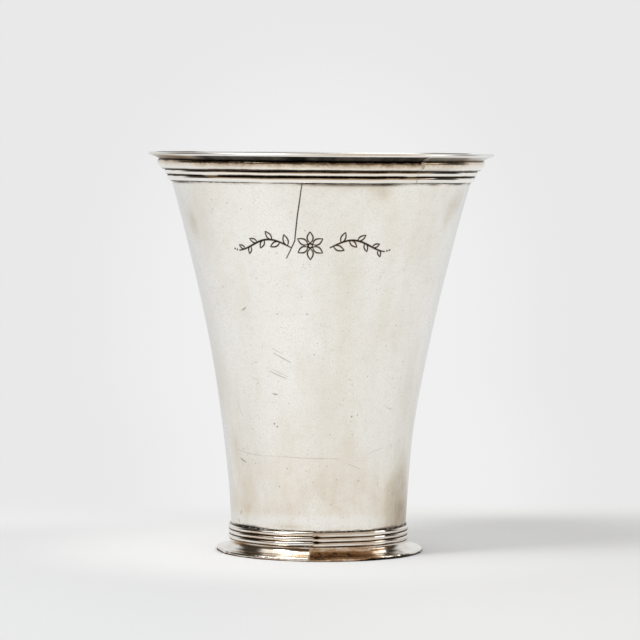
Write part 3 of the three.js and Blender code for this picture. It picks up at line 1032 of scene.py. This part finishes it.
def rim_lump(z):
    """The rim's solder is filed flush over the reeds and left as a drop on the roll."""
    return -0.03 + DROP_BULGE * near(z / MM, DROP_HEIGHT, DROP_SIZE)


def collar_lump(z):
    return COLLAR_PROUD * END_PROUD - LUMP_SUNK + 0 * z


def flange_lump(z):
    return END_PROUD - LUMP_SUNK + 0 * z


def seam_shade(degrees, r, z, apart):
    """Seams darken with tarnish in the grooves, and with painted shade in the crevice under the lip."""
    return np.maximum(near(apart, 0, 0.25 * MM), fade(z / MM, *LIP_CREVICE)) + 0 * r


def floor_wear(angle, r, z, normals):
    """Faint turning rings and the centre punch's mark on the floor."""
    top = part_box("floor_disc")[1].z
    rings = 0.02 * np.sin(r / MM * FLOOR_RINGS) - 0.12 * near(r / MM, 0, PUNCH_RADIUS)
    return r, np.where(z > top - 1e-6, z + MM * (rings - 0.02), z)


def disc_profile():
    """The floor's section, finely divided along its three sides away from the axis."""
    points = outline("floor_disc")
    points = np.roll(points, -int(np.argmin(points[:, 0] + points[:, 1])), 0)
    runs = [curve_through(points[[i, i + 1]], FLOOR_STEP * MM) for i in range(3)]
    line = np.vstack([runs[0], runs[1][1:], runs[2][1:]])
    return line, np.zeros_like(line), np.full(len(line), 1.0)


finishes = {"silver_body": silver_body(), "silver_moulding": silver_moulding(), "solder": hard_solder()}

Wall("body_wall").build("silver_body")
turned("floor_plate", "floor_disc", disc_profile(), FLOOR_COLUMNS, "silver_body", None, floor_wear)
for name, node, seam, wear, tarnish_and_shade in (
    ("rim_strip", "rim_moulding", rim_seam, rim_wear, rim_tarnish_and_shade),
    ("collar_strip", "foot_collar", collar_seam, collar_wear, collar_tarnish_and_shade),
    ("foot_strip", "foot_flange", flange_seam, flange_wear, flange_tarnish_and_shade),
):
    span = open_span(seam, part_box(node)[1].x)
    profile = fine_profile(node, STRIP_STEP * MM)
    turned(name, node, profile, STRIP_COLUMNS, "silver_moulding", span, wear, tarnish_and_shade)
solder_line("rim_solder_line", "rim_edge_solder", 51, rim_joint)
solder_line("collar_solder_line", "collar_edge_solder", 61, collar_joint)
solder_line("floor_solder_line", "floor_solder", 71, floor_joint)
for name, node, strip, *solder in (
    ("rim_seam", "rim_seam_solder", "rim_moulding", RIM_LUMP, rim_lump, seam_shade),
    ("collar_seam", "collar_seam_solder", "foot_collar", COLLAR_LUMP, collar_lump, seam_shade),
    ("foot_seam", "flange_seam_solder", "foot_flange", FLANGE_LUMP, flange_lump, flange_tarnish_and_shade),
):
    seam_lump(name, node, strip, seam_angle(node), *solder)


# Studio.

def camera():
    eye = stand("camera", bpy.data.cameras.new("camera"))
    aim = Vector(CAMERA_AIM) - Vector(CAMERA_PLACE)
    turn = aim.to_track_quat("-Z", "Y").to_matrix().to_4x4() @ Matrix.Rotation(CAMERA_ROLL, 4, "Z")
    eye.matrix_world = Matrix.Translation(CAMERA_PLACE) @ turn
    eye.data.lens = CAMERA_LENS
    eye.data.sensor_width = CAMERA_SENSOR
    eye.data.clip_start, eye.data.clip_end = CAMERA_CLIP
    bpy.context.scene.camera = eye


def lamp(name, place, size, power):
    light = bpy.data.lights.new(name, "AREA")
    light.shape = "RECTANGLE"
    light.size, light.size_y = size
    light.energy = power
    holder = stand(name, light)
    holder.location = place
    holder.rotation_euler = (Vector(KEY_AIM) - Vector(place)).to_track_quat("-Z", "Y").to_euler()
    holder.visible_camera = False


def table():
    """A white table that takes the shadow and is evenly white far off. Only the silver mirrors a glowing
    white card on it, painted light, and the room's floor in front of it."""
    s = Shader(bpy.data.materials.new("table"))
    path = s.add("ShaderNodeLightPath").outputs
    place = s.place()
    x, y, _ = s.parts(place)
    away = s.size(place)
    mirrored = path["Is Glossy Ray"]
    seen = s.most(s.most(path["Is Camera Ray"], mirrored), path["Is Transmission Ray"])
    far = s.most(s.spread(away, *WHITE_AWAY), s.spread(y, *WHITE_BACK))
    # A glowing card that only the silver sees: painted light.
    card = s.spread(s.size(place, CARD_PLACE), *CARD_EDGE)
    share = s.most(s.times(far, seen), s.times(card, mirrored))
    # Painted light and shade on the lit table, evening out the key lamp.
    left = s.mix(s.spread(y, *LEFT_TO_BACK), TABLE_LEFT, TABLE_LEFT_BACK)
    edge = s.mix(s.spread(x, *LEFT_TO_RIGHT), left, TABLE_RIGHT)
    close = s.mix(s.spread(away, *CENTRE_TO_EDGE), TABLE_CENTRE, edge)
    lit = s.add("ShaderNodeBsdfDiffuse", None, Color=close).outputs[0]
    lean = s.spread(y, *HALO_LEANING, 0.0, -HALO_LEAN)
    fan = s.math("ABSOLUTE", s.plus(s.math("DIVIDE", x, s.plus(y, HALO_FAN)), lean))
    halo = s.times(s.spread(fan, HALO_WIDE, HALO_CORE * HALO_WIDE), s.spread(y, *HALO_ON_TABLE))
    behind = s.mix(s.spread(x, *LEFT_TO_RIGHT), TABLE_BEHIND_LEFT, TABLE_BEHIND_RIGHT)
    mirror = s.mix(s.spread(y, *FRONT_TO_BEHIND), TABLE_MIRRORED, behind)
    colour = s.mix(mirrored, s.mix(halo, WHITE, HALO), mirror)
    colour = s.mix(s.times(s.spread(y, *FRONT_END), mirrored), colour, ROOM_FLOOR)
    glow = s.add("ShaderNodeEmission", None, Color=colour, Strength=1.0).outputs[0]
    finish = s.finish(s.add("ShaderNodeMixShader", None, i0=share, i1=lit, i2=glow).outputs[0])
    bm = bmesh.new()
    bmesh.ops.create_circle(bm, cap_ends=True, segments=TABLE_SEGMENTS, radius=TABLE_RADIUS)
    mesh = bpy.data.meshes.new("table")
    bm.to_mesh(mesh)
    bm.free()
    mesh.materials.append(finish)
    top = stand("table", mesh)


def room():
    """What the silver mirrors: a white backdrop behind, and in front warm walls, a dark ceiling, a
    softbox and a window. Seen straight on there is only the white backdrop with its halo."""
    world = bpy.data.worlds.new("room")
    bpy.context.scene.world = world
    s = Shader(world)
    path = s.add("ShaderNodeLightPath").outputs
    x, y, z = s.parts(s.add("ShaderNodeTexCoord").outputs["Generated"])
    # The beaker's front mirrors what lies in a direction at the angle and slope with these two tangents.
    depth = s.math("SUBTRACT", 1.0, y)
    across, up = s.math("DIVIDE", x, depth), s.math("DIVIDE", z, depth)
    floor = s.times(s.spread(y, *FLOOR_DEEP), s.spread(z, *FLOOR_TOP))
    ceiling = s.band(across, *CEILING_ACROSS)
    wall = s.times(ceiling, s.spread(up, *WALL_UP))
    softbox = s.times(s.band(across, *SOFTBOX_ACROSS), s.spread(up, *SOFTBOX_UP))
    window = s.times(s.band(across, *WINDOW_ACROSS), s.band(up, *WINDOW_UP))
    middle = s.spread(s.math("ABSOLUTE", x), *TALL_WIDE)
    tall = s.times(s.times(middle, s.spread(y, *TALL_DEEP)), s.spread(z, *TALL_TOP))
    backdrop = s.most(tall, s.times(s.spread(y, *BACKDROP_DEEP), s.spread(z, *BACKDROP_TOP)))
    mirrored = ROOM
    for share, colour in (
        (ceiling, CEILING),
        (wall, ROOM_WALL),
        (floor, ROOM_FLOOR),
        (backdrop, WHITE),
        (softbox, SOFTBOX),
        (window, WINDOW),
    ):
        mirrored = s.mix(share, mirrored, colour)
    straight = s.times(path["Is Glossy Ray"], s.math("LESS_THAN", path["Diffuse Depth"], 0.5))
    colour = s.mix(straight, AMBIENT, mirrored)
    high = s.most(s.math("DIVIDE", s.plus(z, -HALO_RISE), HALO_TALL), 0.0)
    oval = s.size(s.joined(s.math("DIVIDE", x, HALO_WIDE), high))
    halo = s.times(s.spread(oval, 1.0, HALO_CORE), s.spread(y, *HALO_ON_BACKDROP))
    colour = s.mix(path["Is Camera Ray"], colour, s.mix(halo, WHITE, HALO))
    back = s.add("ShaderNodeBackground", None, Color=colour, Strength=1.0)
    s.add("ShaderNodeOutputWorld", None, Surface=back.outputs[0])


bpy.context.scene.view_settings.view_transform = "Standard"
camera()
lamp("key", **KEY)
table()
room()
